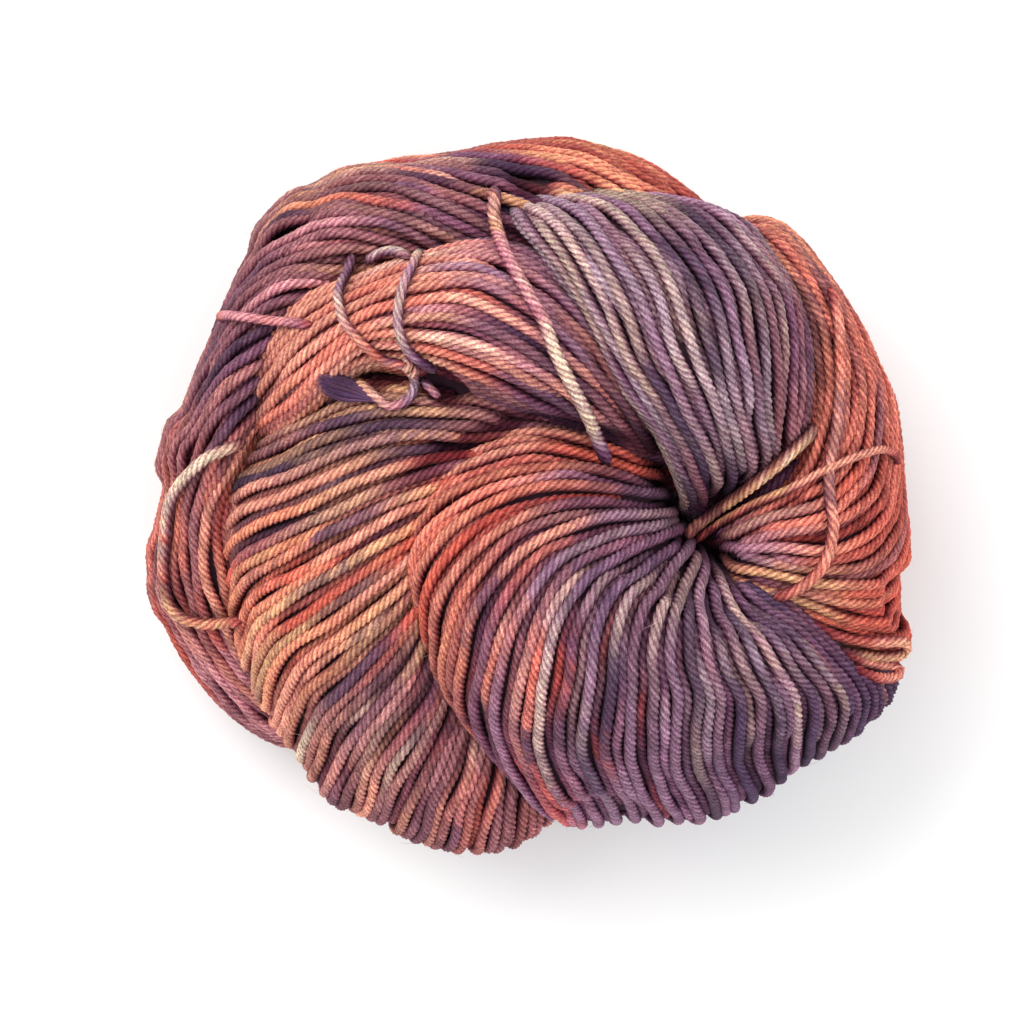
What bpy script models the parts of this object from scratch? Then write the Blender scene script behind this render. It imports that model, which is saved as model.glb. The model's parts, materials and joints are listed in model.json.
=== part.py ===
# A hank of plied yarn, curled round on itself into a bun that rests on a flat spot, and the
# thread that ties one of its turns.
import math
from collections import namedtuple

import bmesh
import bpy
from mathutils import Vector
from mathutils.bvhtree import BVHTree

MM = 0.001

# Driving sizes of the real thing, in metres.
HANK_LENGTH = 119 * MM
HANK_WIDTH = 111 * MM
HANK_HEIGHT = 76 * MM
FLAT_SPOT_DEPTH = 2.5 * MM
TIE_DIAMETER = 1.6 * MM
GAP = 0.3 * MM

# How finely the bundles are lofted, and the skin round them all is faceted.
POINTS_ROUND = 48
SECTIONS_PER_ROW = 6
SKIN_STEP = 1.2 * MM
SKIN_FACETS_KEPT = 0.07

# The hank's turns fan out from one hole. Each is a fat bundle of strands with a row for each
# section from the hole, over the top, to where it goes under. A row holds the section's left edge,
# crown and right edge as x, y, z in millimetres, and how far it swells away from its crown.
Section = namedtuple("Section", "left crown right belly")

LOWER_FAN = (
    Section((29, -9, 40), (25, -5, 43), (23, 1, 42), 8),
    Section((32, -14, 56), (23, -7, 60), (18, 4, 58), 10),
    Section((36, -17, 59), (18, -12, 70), (3, 8, 66), 16),
    Section((40, -19, 60), (15, -16, 75), (-11, 4, 67), 20),
    Section((45, -23, 57), (14, -24, 75), (-19, -6, 64), 22),
    Section((51, -28, 51), (16, -32, 71), (-18, -20, 58), 24),
    Section((55, -31, 44), (20, -42, 59), (-12, -34, 49), 22),
    Section((57, -34, 32), (24, -53, 34), (5, -51, 34), 18),
    Section((53, -30, 13), (24, -48, 9), (6, -46, 13), 16),
    Section((44, -24, 5), (20, -34, 1), (4, -34, 5), 16),
    Section((32, -14, 6), (16, -20, 2), (2, -22, 6), 12),
)
LEFT_FAN = (
    Section((21, -3, 42), (20, 0, 46), (21, 4, 43), 6),
    Section((11, 0, 54), (11, 6, 60), (11, 10, 56), 10),
    Section((-1, -7, 52), (-3, 7, 65), (-3, 14, 58), 16),
    Section((-9, -17, 50), (-14, 2, 67), (-15, 19, 56), 20),
    Section((-10, -27, 46), (-22, -6, 66), (-25, 20, 54), 22),
    Section((-5, -38, 42), (-30, -15, 61), (-37, 12, 50), 22),
    Section((0, -49, 36), (-36, -30, 50), (-44, 5, 42), 20),
    Section((4, -53, 24), (-33, -48, 31), (-46, -8, 29), 18),
    Section((3, -46, 10), (-29, -43, 8), (-43, -10, 11), 16),
    Section((4, -36, 4), (-18, -28, 1), (-30, -8, 5), 16),
    Section((2, -22, 6), (-8, -14, 2), (-14, -2, 6), 12),
)
TIED_TURN = (
    Section((21, -2, 42), (22, 1, 46), (24, 3, 44), 6),
    Section((13, 6, 58), (15, 10, 66), (18, 13, 62), 10),
    Section((3, 10, 61), (4, 19, 74), (8, 32, 63), 16),
    Section((-8, 14, 61), (-8, 26, 76), (-4, 39, 60), 20),
    Section((-17, 17, 59), (-18, 28, 73), (-17, 37, 60), 24),
    Section((-26, 18, 57), (-27, 26, 69), (-27, 34, 57), 22),
    Section((-35, 10, 53), (-37, 20, 63), (-39, 29, 52), 20),
    Section((-41, 7, 46), (-45, 13, 50), (-45, 20, 44), 18),
    Section((-40, 3, 30), (-45, 9, 30), (-44, 15, 28), 16),
    Section((-34, 0, 16), (-38, 4, 12), (-38, 10, 12), 14),
)
UPPER_TURN = (
    Section((25, -5.5, 44), (30, -3, 46), (35, -2, 42), 6),
    Section((23, -2, 57), (32, 2.5, 63), (39, 1.5, 52), 10),
    Section((19, 7, 64), (27, 12, 74), (42, 8, 57.5), 16),
    Section((13, 15, 66), (24, 21, 79), (43, 17, 60), 20),
    Section((8, 24, 66), (21, 31, 79), (42, 28, 59), 26),
    Section((3, 33, 65), (15, 39, 75), (37, 37, 57), 26),
    Section((-1, 39, 62), (9, 44, 68), (31, 43.5, 55), 24),
    Section((-4, 43, 57), (3, 46, 60), (16, 47, 51), 22),
    Section((-7, 44, 48), (-4, 46, 46), (2, 48, 42), 18),
    Section((-12, 41, 36), (-12, 43, 34), (-10, 44, 32), 14),
)
RIGHT_TURN = (
    Section((27, -6, 42), (28.5, -10, 45), (29, -14, 42), 6),
    Section((30, -5, 54), (31.5, -11, 58), (33, -17, 52), 10),
    Section((38, 1, 57), (45, -12, 61), (50, -25, 44), 16),
    Section((41, 6, 58), (55, -9, 54), (58.5, -27, 31), 24),
    Section((42, 12, 58), (58.5, 2, 43), (55, -14, 5), 26),
    Section((42, 20, 58), (57.5, 15.5, 42), (52, 6, 4), 26),
    Section((40, 28, 57), (52.5, 28, 42), (48, 20, 4), 24),
    Section((37, 34, 55), (45.5, 38, 42), (42, 32, 5), 22),
    Section((32, 39, 50), (37, 44, 38), (35, 40, 8), 20),
    Section((24, 40, 42), (28, 43, 32), (27, 42, 14), 16),
)
OUTER_TURN = (
    Section((26, 30, 38), (32, 40, 34), (29, 38, 14), 16),
    Section((18, 38, 52), (24.5, 49, 42), (22, 46, 8), 20),
    Section((5, 37, 58), (10, 55, 46), (9, 50, 5), 22),
    Section((-8, 36, 59), (-10, 54, 46), (-9, 50, 4), 22),
    Section((-22, 34, 57), (-29, 51, 46), (-27, 46, 4), 22),
    Section((-33, 26, 55), (-42, 40.5, 45), (-40, 38, 4), 22),
    Section((-41, 15, 53), (-50.5, 24, 44), (-48, 23, 4), 22),
    Section((-45, 2, 49), (-57.5, 5, 40), (-55, 6, 4), 22),
    Section((-44, -10, 44), (-60.5, -14, 33), (-57, -11, 4), 22),
    Section((-40, -21, 37), (-53.5, -30, 26), (-50, -27, 4), 20),
    Section((-32, -30, 30), (-43, -40.5, 20), (-39, -36, 5), 18),
    Section((-22, -34, 24), (-28, -43, 16), (-27, -40, 6), 14),
)
TURNS = (LOWER_FAN, LEFT_FAN, TIED_TURN, UPPER_TURN, RIGHT_TURN, OUTER_TURN)

# The strands inside, which the turns lie against: its centre and half sizes in millimetres.
HEART_CENTRE = Vector((-2, 0, 27))
HEART_HALF_SIZE = Vector((48, 45, 28))

# The tie lies on the tied turn. A row holds a point of its route, seen from above in millimetres,
# its thickness in tie diameters, and how far it is lifted off the strands in millimetres.
TieSpot = namedtuple("TieSpot", "x y thickness lift")

# The left leg comes out of the crease above the turn, passes the knot, and curls back to a frayed end.
LEFT_LEG = (
    TieSpot(-25.8, 36.1, 1, 0),
    TieSpot(-26.7, 33.1, 1, 0),
    TieSpot(-27.6, 28.6, 1, 0),
    TieSpot(-25.6, 24.5, 1, 0),
    TieSpot(-22.7, 20.9, 1, 0),
    TieSpot(-19.4, 19.7, 1, 0.4),
    TieSpot(-17.1, 18.9, 1, 1.6),
    TieSpot(-16.7, 15.8, 1, 0.4),
    TieSpot(-17.9, 13.3, 1, 0),
    TieSpot(-20.0, 13.0, 1, 0),
    TieSpot(-22.1, 14.3, 1, 0),
    TieSpot(-24.4, 16.4, 1.3, 0.6),
    TieSpot(-27.0, 17.2, 2.1, 0),
    TieSpot(-30.3, 17.0, 1.5, 0),
)
# The right leg comes out of the same crease, passes the knot and ends short in the gap beside it.
RIGHT_LEG = (
    TieSpot(-15.6, 36.5, 1, 0),
    TieSpot(-16.5, 33.4, 1, 0),
    TieSpot(-17.9, 30.0, 1, 0),
    TieSpot(-18.3, 25.8, 1, 0),
    TieSpot(-17.7, 22.2, 1, 0.2),
    TieSpot(-16.3, 19.9, 1, 0.8),
    TieSpot(-13.7, 18.1, 1, 0),
    TieSpot(-13.4, 15.3, 1, 0),
)
KNOT = TieSpot(-16.7, 19.5, 2.1, 0)
KNOT_SQUASH = Vector((1.0, 1.15, 0.8))


def blank_scene():
    for thing in list(bpy.data.objects):
        bpy.data.objects.remove(thing, do_unlink=True)


def new_collection(name, is_helper=False):
    collection = bpy.data.collections.new(name)
    bpy.context.scene.collection.children.link(collection)
    collection.hide_render = is_helper
    return collection


def new_material(name, colour, roughness):
    material = bpy.data.materials.new(name)
    material.use_nodes = True
    principled = material.node_tree.nodes["Principled BSDF"]
    principled.inputs["Base Color"].default_value = (*colour, 1.0)
    principled.inputs["Roughness"].default_value = roughness
    principled.inputs["Metallic"].default_value = 0.0
    return material


def between(values, place):
    """The value at a place between rows, on a smooth curve through every row."""
    last = len(values) - 1
    index = min(int(place), last - 1)
    share = place - index
    here, after = values[index], values[index + 1]
    before = values[index - 1] if index > 0 else 2 * here - after
    beyond = values[index + 2] if index + 2 <= last else 2 * after - here
    return 0.5 * (
        2 * here
        + (after - before) * share
        + (2 * before - 5 * here + 4 * after - beyond) * share**2
        + (3 * here - before - 3 * after + beyond) * share**3
    )


def turn_point(turn, row, angle):
    """A point on a turn's surface: angle 0 is the left edge, a quarter circle the crown."""
    left = between([Vector(section.left) for section in turn], row) * MM
    crown = between([Vector(section.crown) for section in turn], row) * MM
    right = between([Vector(section.right) for section in turn], row) * MM
    belly = between([section.belly for section in turn], row) * MM
    centre = (left + right) / 2
    rise = crown - centre
    if math.sin(angle) < 0:
        rise = rise.normalized() * belly
    return centre + (left - centre) * math.cos(angle) + rise * math.sin(angle)


def add_turn(mesh, turn):
    """One bundle, a loft through its unlike sections with both ends closed."""
    rings = []
    steps = (len(turn) - 1) * SECTIONS_PER_ROW
    for step in range(steps + 1):
        ring = []
        for corner in range(POINTS_ROUND):
            angle = 2 * math.pi * corner / POINTS_ROUND
            ring.append(mesh.verts.new(turn_point(turn, step / SECTIONS_PER_ROW, angle)))
        rings.append(ring)
    for ring, following in zip(rings, rings[1:]):
        for corner in range(POINTS_ROUND):
            beside = (corner + 1) % POINTS_ROUND
            mesh.faces.new((ring[corner], ring[beside], following[beside], following[corner]))
    mesh.faces.new(reversed(rings[0]))
    mesh.faces.new(rings[-1])


def add_heart(mesh):
    made = bmesh.ops.create_uvsphere(mesh, u_segments=32, v_segments=20, radius=1)
    for vertex in made["verts"]:
        vertex.co = (vertex.co * HEART_HALF_SIZE + HEART_CENTRE) * MM


def build_floor_cutter(collection):
    """A block whose top cuts the flat spot that the hank rests on."""
    side = 2 * HANK_LENGTH
    bpy.ops.mesh.primitive_cube_add(size=side, location=(0, 0, FLAT_SPOT_DEPTH - side / 2))
    cutter = bpy.context.object
    cutter.name = "floor_cutter"
    cutter.display_type = "WIRE"
    cutter.hide_render = True
    move_to(cutter, collection)
    return cutter


def move_to(thing, collection):
    for owner in list(thing.users_collection):
        owner.objects.unlink(thing)
    collection.objects.link(thing)


def add_boolean(thing, operation, other):
    modifier = thing.modifiers.new(other.name, "BOOLEAN")
    modifier.operation = operation
    modifier.solver = "EXACT"
    modifier.object = other


def add_skin(thing):
    """One closed skin round all the bundles, which lie in each other as they do in the hank."""
    skin = thing.modifiers.new("skin", "REMESH")
    skin.mode = "VOXEL"
    skin.voxel_size = SKIN_STEP
    facets = thing.modifiers.new("facets", "DECIMATE")
    facets.ratio = SKIN_FACETS_KEPT


def applied(thing):
    """The object's mesh with its modifiers, in a new mesh."""
    bpy.context.view_layer.update()
    graph = bpy.context.evaluated_depsgraph_get()
    return bpy.data.meshes.new_from_object(thing.evaluated_get(graph))


def keep_outer_skin(mesh):
    """Removes the walls of the voids that the turns shut in between them."""
    left = set(mesh.verts)
    skins = []
    while left:
        skin = set()
        front = [left.pop()]
        while front:
            vertex = front.pop()
            skin.add(vertex)
            for edge in vertex.link_edges:
                other = edge.other_vert(vertex)
                if other in left:
                    left.remove(other)
                    front.append(other)
        skins.append(skin)
    outer = max(skins, key=lambda skin: max(vertex.co.x for vertex in skin))
    inner = [vertex for vertex in mesh.verts if vertex not in outer]
    bmesh.ops.delete(mesh, geom=inner, context="VERTS")


def fit_to_size(mesh):
    """Centres the mesh over the origin, on the ground, at the hank's real size."""
    low = Vector([min(vertex.co[axis] for vertex in mesh.verts) for axis in range(3)])
    high = Vector([max(vertex.co[axis] for vertex in mesh.verts) for axis in range(3)])
    base = Vector(((low.x + high.x) / 2, (low.y + high.y) / 2, low.z))
    size = Vector((HANK_LENGTH, HANK_WIDTH, HANK_HEIGHT))
    scale = Vector([size[axis] / (high[axis] - low[axis]) for axis in range(3)])
    for vertex in mesh.verts:
        vertex.co = (vertex.co - base) * scale


def build_hank(collection, cutters):
    forms = bmesh.new()
    for turn in TURNS:
        add_turn(forms, turn)
    add_heart(forms)
    bundles = bpy.data.objects.new("bundles", bpy.data.meshes.new("bundles"))
    forms.to_mesh(bundles.data)
    forms.free()
    cutters.objects.link(bundles)
    add_skin(bundles)
    add_boolean(bundles, "DIFFERENCE", build_floor_cutter(cutters))
    data = applied(bundles)
    bpy.data.objects.remove(bundles)
    mesh = bmesh.new()
    mesh.from_mesh(data)
    keep_outer_skin(mesh)
    fit_to_size(mesh)
    mesh.to_mesh(data)
    mesh.free()
    data.name = "hank"
    data.shade_smooth()
    data.materials.append(new_material("yarn", (0.36, 0.15, 0.13), 0.9))
    hank = bpy.data.objects.new("hank", data)
    collection.objects.link(hank)
    return hank


def laid(tree, spot):
    """Where the tie's middle lies at this spot, clear of the hank by the gap."""
    clearance = TIE_DIAMETER / 2 * spot.thickness + GAP
    above = Vector((spot.x * MM, spot.y * MM, 2 * HANK_HEIGHT))
    point = tree.ray_cast(above, Vector((0, 0, -1)))[0]
    while (tree.find_nearest(point)[0] - point).length < clearance:
        point = point + Vector((0, 0, GAP / 10))
    return point + Vector((0, 0, spot.lift * MM))


def tie_tube(name, route, tree):
    """One run of the thread: a tube along a smooth curve through its spots."""
    places = []
    for row in range(len(route) - 1):
        here, after = route[row], route[row + 1]
        run = math.hypot(after.x - here.x, after.y - here.y) * MM
        steps = max(1, round(run / TIE_DIAMETER))
        places += [row + step / steps for step in range(steps)]
    places.append(len(route) - 1)
    curve = bpy.data.curves.new(name, "CURVE")
    curve.dimensions = "3D"
    curve.bevel_depth = TIE_DIAMETER / 2
    curve.bevel_resolution = 2
    curve.use_fill_caps = True
    spline = curve.splines.new("POLY")
    spline.points.add(len(places) - 1)
    for point, place in zip(spline.points, places):
        spot = TieSpot(*between([Vector(row) for row in route], place))
        point.co = (*laid(tree, spot), 1)
        point.radius = spot.thickness
    tube = bpy.data.objects.new(name, curve)
    bpy.context.scene.collection.objects.link(tube)
    data = applied(tube)
    bpy.data.objects.remove(tube)
    mesh = bmesh.new()
    mesh.from_mesh(data)
    bmesh.ops.remove_doubles(mesh, verts=mesh.verts, dist=0.01 * MM)
    bmesh.ops.recalc_face_normals(mesh, faces=mesh.faces)
    mesh.to_mesh(data)
    mesh.free()
    return bpy.data.objects.new(name, data)


def build_knot(collection, tree):
    radius = TIE_DIAMETER / 2 * KNOT.thickness
    bpy.ops.mesh.primitive_ico_sphere_add(subdivisions=2, radius=radius)
    knot = bpy.context.object
    knot.name = "knot"
    knot.location = laid(tree, KNOT)
    knot.scale = KNOT_SQUASH
    knot.hide_render = True
    knot.display_type = "WIRE"
    move_to(knot, collection)
    return knot


def build_tie(collection, cutters, hank):
    """The thread round the tied turn: two legs that cross at the knot, each with its free end."""
    surface = bmesh.new()
    surface.from_mesh(hank.data)
    tree = BVHTree.FromBMesh(surface)
    surface.free()
    tie = tie_tube("tie", LEFT_LEG, tree)
    tie.data.materials.append(new_material("tie_thread", (0.40, 0.24, 0.28), 0.9))
    collection.objects.link(tie)
    right_leg = tie_tube("right_leg", RIGHT_LEG, tree)
    right_leg.hide_render = True
    right_leg.display_type = "WIRE"
    cutters.objects.link(right_leg)
    add_boolean(tie, "UNION", right_leg)
    add_boolean(tie, "UNION", build_knot(cutters, tree))
    return tie


def main():
    blank_scene()
    collection = new_collection("yarn_hank")
    cutters = new_collection("helpers", is_helper=True)
    hank = build_hank(collection, cutters)
    build_tie(collection, cutters, hank)


main()
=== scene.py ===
import json
import math
from collections import namedtuple

import bmesh
import bpy
import numpy as np
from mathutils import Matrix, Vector
from mathutils.bvhtree import BVHTree

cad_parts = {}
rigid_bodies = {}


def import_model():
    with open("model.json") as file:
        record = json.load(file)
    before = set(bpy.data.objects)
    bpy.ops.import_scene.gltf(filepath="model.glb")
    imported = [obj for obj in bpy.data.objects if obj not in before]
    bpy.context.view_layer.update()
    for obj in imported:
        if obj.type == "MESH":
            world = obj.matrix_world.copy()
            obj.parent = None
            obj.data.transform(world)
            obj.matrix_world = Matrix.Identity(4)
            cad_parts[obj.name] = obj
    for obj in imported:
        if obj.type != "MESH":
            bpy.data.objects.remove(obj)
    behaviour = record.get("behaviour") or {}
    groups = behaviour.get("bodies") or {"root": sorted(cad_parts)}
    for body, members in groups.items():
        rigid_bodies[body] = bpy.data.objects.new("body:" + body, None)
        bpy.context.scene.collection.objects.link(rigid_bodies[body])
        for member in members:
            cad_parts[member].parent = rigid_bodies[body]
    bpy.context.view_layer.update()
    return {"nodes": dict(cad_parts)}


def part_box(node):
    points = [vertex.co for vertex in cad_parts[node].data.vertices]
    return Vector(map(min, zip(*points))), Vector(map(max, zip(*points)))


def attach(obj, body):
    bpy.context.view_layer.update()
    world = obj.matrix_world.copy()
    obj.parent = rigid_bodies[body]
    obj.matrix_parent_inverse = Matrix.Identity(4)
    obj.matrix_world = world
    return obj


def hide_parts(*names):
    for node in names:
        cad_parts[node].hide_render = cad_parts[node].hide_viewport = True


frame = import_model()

mm = 0.001
hankLow, hankHigh = [np.array(corner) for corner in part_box("hank")]
rng = np.random.default_rng(11)


def note(text):
    print("hank:", text)


def linked(name, data):
    piece = bpy.data.objects.new(name, data)
    bpy.context.scene.collection.objects.link(piece)
    return piece


def meshFrom(solid, name):
    data = bpy.data.meshes.new(name)
    solid.to_mesh(data)
    solid.free()
    return data


def smoothRows(table, places):
    # values of a table of rows at fractional row numbers, on a smooth curve through every row
    rows = np.asarray(table, float)
    ends = np.concatenate([2 * rows[:1] - rows[1:2], rows, 2 * rows[-1:] - rows[-2:-1]])
    index = np.minimum(places.astype(int), len(rows) - 2)
    t = (places - index).reshape((-1,) + (1,) * (rows.ndim - 1))
    a, b, c, d = ends[index], ends[index + 1], ends[index + 2], ends[index + 3]
    return 0.5 * (2 * b + (c - a) * t + (2 * a - 5 * b + 4 * c - d) * t**2
                  + (3 * b - a - 3 * c + d) * t**3)


def smoothStep(x):
    x = np.clip(x, 0, 1)
    return x * x * (3 - 2 * x)


def unit(v):
    return v / np.maximum(np.linalg.norm(v, axis=-1, keepdims=True), 1e-12)


def wander(length, wave):
    # a slow random curve of about unit height, in step with the places along a strand
    total = np.zeros_like(length)
    for octave in (1.0, 0.47):
        total += octave * np.sin(2 * math.pi * length / (wave * octave) + rng.uniform(0, 2 * math.pi))
    return total / 1.3


def linear(colour):
    c = np.asarray(colour, float)
    return np.where(c <= 0.04045, c / 12.92, ((c + 0.055) / 1.055) ** 2.4)


# the hank's form repeats the turns that the solid is made of: left, crown and right are points in
# millimetres, belly is the depth below the edges, and spin is how far the strands have wound round the
# turn there, in degrees
Section = namedtuple("Section", "left crown right belly spin")
turns = {
    "lowerFan": (
        ((29, -9, 40), (25, -5, 43), (23, 1, 42), 8, 0),
        ((32, -14, 56), (23, -7, 60), (18, 4, 58), 10, 0),
        ((36, -17, 59), (18, -12, 70), (3, 8, 66), 16, 2),
        ((40, -19, 60), (15, -16, 75), (-11, 4, 67), 20, 6),
        ((45, -23, 57), (14, -24, 75), (-19, -6, 64), 22, 12),
        ((51, -28, 51), (16, -32, 71), (-18, -20, 58), 24, 22),
        ((55, -31, 44), (20, -42, 59), (-12, -34, 49), 22, 36),
        ((57, -34, 32), (24, -53, 34), (5, -51, 34), 18, 54),
        ((53, -30, 13), (24, -48, 9), (6, -46, 13), 16, 68),
        ((44, -24, 5), (20, -34, 1), (4, -34, 5), 16, 75),
        ((32, -14, 6), (16, -20, 2), (2, -22, 6), 12, 78),
    ),
    "leftFan": (
        ((21, -3, 42), (20, 0, 46), (21, 4, 43), 6, 0),
        ((11, 0, 54), (11, 6, 60), (11, 10, 56), 10, 0),
        ((-1, -7, 52), (-3, 7, 65), (-3, 14, 58), 16, 2),
        ((-9, -17, 50), (-14, 2, 67), (-15, 19, 56), 20, 8),
        ((-10, -27, 46), (-22, -6, 66), (-25, 20, 54), 22, 18),
        ((-5, -38, 42), (-30, -15, 61), (-37, 12, 50), 22, 32),
        ((0, -49, 36), (-36, -30, 50), (-44, 5, 42), 20, 48),
        ((4, -53, 24), (-33, -48, 31), (-46, -8, 29), 18, 64),
        ((3, -46, 10), (-29, -43, 8), (-43, -10, 11), 16, 76),
        ((4, -36, 4), (-18, -28, 1), (-30, -8, 5), 16, 84),
        ((2, -22, 6), (-8, -14, 2), (-14, -2, 6), 12, 90),
    ),
    "tiedTurn": (
        ((21, -2, 42), (22, 1, 46), (24, 3, 44), 6, 0),
        ((13, 6, 58), (15, 10, 66), (18, 13, 62), 10, 0),
        ((3, 10, 61), (4, 19, 74), (8, 32, 63), 16, 0),
        ((-8, 14, 61), (-8, 26, 76), (-4, 39, 60), 20, 0),
        ((-17, 17, 59), (-18, 28, 73), (-17, 37, 60), 24, 0),
        ((-26, 18, 57), (-27, 26, 69), (-27, 34, 57), 22, -3),
        ((-35, 10, 53), (-37, 20, 63), (-39, 29, 52), 20, -11),
        ((-41, 7, 46), (-45, 13, 50), (-45, 20, 44), 18, -22),
        ((-40, 3, 30), (-45, 9, 30), (-44, 15, 28), 16, -30),
        ((-34, 0, 16), (-38, 4, 12), (-38, 10, 12), 14, -34),
    ),
    "upperTurn": (
        ((25, -5.5, 44), (30, -3, 46), (35, -2, 42), 6, 0),
        ((23, -2, 57), (32, 2.5, 63), (39, 1.5, 52), 10, 0),
        ((19, 7, 64), (27, 12, 74), (42, 8, 57.5), 16, 0),
        ((13, 15, 66), (24, 21, 79), (43, 17, 60), 20, 0),
        ((8, 24, 66), (21, 31, 79), (42, 28, 59), 26, 0),
        ((3, 33, 65), (15, 39, 75), (37, 37, 57), 26, 0),
        ((-1, 39, 62), (9, 44, 68), (31, 43.5, 55), 24, 0),
        ((-4, 43, 57), (3, 46, 60), (16, 47, 51), 22, 0),
        ((-7, 44, 48), (-4, 46, 46), (2, 48, 42), 18, 0),
        ((-12, 41, 36), (-12, 43, 34), (-10, 44, 32), 14, 0),
    ),
    "rightTurn": (
        ((27, -6, 42), (28.5, -10, 45), (29, -14, 42), 6, 0),
        ((30, -5, 54), (31.5, -11, 58), (33, -17, 52), 10, 0),
        ((38, 1, 57), (45, -12, 61), (50, -25, 44), 16, 0),
        ((41, 6, 58), (55, -9, 54), (58.5, -27, 31), 24, 0),
        ((42, 12, 58), (58.5, 2, 43), (55, -14, 5), 26, 0),
        ((42, 20, 58), (57.5, 15.5, 42), (52, 6, 4), 26, 0),
        ((40, 28, 57), (52.5, 28, 42), (48, 20, 4), 24, 0),
        ((37, 34, 55), (45.5, 38, 42), (42, 32, 5), 22, 0),
        ((32, 39, 50), (37, 44, 38), (35, 40, 8), 20, 0),
        ((24, 40, 42), (28, 43, 32), (27, 42, 14), 16, 0),
    ),
    "outerTurn": (
        ((26, 30, 38), (32, 40, 34), (29, 38, 14), 16, -80),
        ((18, 38, 52), (24.5, 49, 42), (22, 46, 8), 20, -56),
        ((5, 37, 58), (10, 55, 46), (9, 50, 5), 22, -28),
        ((-8, 36, 59), (-10, 54, 46), (-9, 50, 4), 22, 0),
        ((-22, 34, 57), (-29, 51, 46), (-27, 46, 4), 22, 30),
        ((-33, 26, 55), (-42, 40.5, 45), (-40, 38, 4), 22, 60),
        ((-41, 15, 53), (-50.5, 24, 44), (-48, 23, 4), 22, 90),
        ((-45, 2, 49), (-57.5, 5, 40), (-55, 6, 4), 22, 114),
        ((-44, -10, 44), (-60.5, -14, 33), (-57, -11, 4), 22, 130),
        ((-40, -21, 37), (-53.5, -30, 26), (-50, -27, 4), 20, 138),
        ((-32, -30, 30), (-43, -40.5, 20), (-39, -36, 5), 18, 144),
        ((-22, -34, 24), (-28, -43, 16), (-27, -40, 6), 14, 148),
    ),
}

form = {
    "samples": 260,             # places along each turn
    "anglesRound": 96,          # places round each half of a section
    "flatSpotDepth": 2.5 * mm,  # how much of the underside is pressed flat
    "eye": np.array([26, -4]) * mm,
    "eyeRadius": 8 * mm,
    "dentReach": 1.35,          # where a dent ends, in halves of its size
    "dentFade": 0.7,            # and over how much of that it fades out
}


class Turn:
    def __init__(self, rows):
        table = [Section(*row) for row in rows]
        self.rows = np.linspace(0, len(table) - 1, form["samples"])
        points = smoothRows([(row.left, row.crown, row.right) for row in table], self.rows) * mm
        self.centre = (points[:, 0] + points[:, 2]) / 2
        self.side = (points[:, 0] - points[:, 2]) / 2
        self.rise = points[:, 1] - self.centre
        belly = smoothRows([row.belly for row in table], self.rows) * mm
        self.drop = -unit(self.rise) * belly[:, None]
        self.spin = smoothRows([row.spin for row in table], self.rows) / 360
        # how far round the section each angle is, with the top half taking the first half of the count
        half = form["anglesRound"]
        self.angles = np.linspace(0, 2 * math.pi, half * 2 + 1)
        steps = np.linalg.norm(np.diff(self.surface(self.angles), axis=1), axis=2)
        self.topRun = steps[:, :half].sum(1)
        self.underRun = steps[:, half:].sum(1)
        top = np.cumsum(steps[:, :half], 1) / self.topRun[:, None] / 2
        under = 0.5 + np.cumsum(steps[:, half:], 1) / self.underRun[:, None] / 2
        self.shares = np.concatenate([np.zeros((len(steps), 1)), top, under], 1)

    def surface(self, angles):
        angles = np.broadcast_to(angles, (len(self.centre), angles.shape[-1]))
        cos, sin = np.cos(angles)[..., None], np.sin(angles)[..., None]
        swell = np.where(sin >= 0, self.rise[:, None] * sin, self.drop[:, None] * -sin)
        return self.centre[:, None] + self.side[:, None] * cos + swell

    def angleAt(self, share):
        # the section angle for a share of the way round, at every place along the turn
        return np.array([np.interp(s, row, self.angles) for s, row in zip(share % 1, self.shares)])

    def along(self, angle):
        # points and outward directions of a line at these angles
        step = 0.02
        three = self.surface(np.stack([angle - step, angle, angle + step], 1))
        point = three[:, 1]
        return point, unit(np.cross(three[:, 2] - three[:, 0], np.gradient(point, axis=0)))


bundles = {name: Turn(rows) for name, rows in turns.items()}

# the solid was moved and sized to its real box; the strands go the same way
allPoints = np.concatenate([bundle.surface(bundle.angles).reshape(-1, 3) for bundle in bundles.values()])
rawLow, rawHigh = np.minimum(allPoints.min(0), 0), allPoints.max(0)
rawLow[2] = form["flatSpotDepth"]
fitScale = (hankHigh - hankLow) / (rawHigh - rawLow)


def placed(points):
    return (points - rawLow) * fitScale + hankLow


# the skin of the solid, which strands, tie and fuzz are laid against
skinForm = bmesh.new()
skinForm.from_mesh(frame["nodes"]["hank"].data)
bmesh.ops.remove_doubles(skinForm, verts=skinForm.verts, dist=0.001 * mm)
skinTree = BVHTree.FromBMesh(skinForm)
skinMesh = meshFrom(skinForm, "skin")
note("form and skin ready")


def skinNormals(points):
    return np.array([skinTree.find_nearest(Vector(point))[1] for point in points])


def depthUnderSkin(points):
    return np.array([skinTree.find_nearest(Vector(point))[3] for point in points])


def nearEye(points):
    # 1 over the hank's eye, where all its turns dive in, and 0 away from it
    away = np.linalg.norm(points[:, :2] - form["eye"], axis=1)
    return smoothStep(2 - away / form["eyeRadius"]) * (points[:, 2] > hankHigh[2] / 2)


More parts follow.
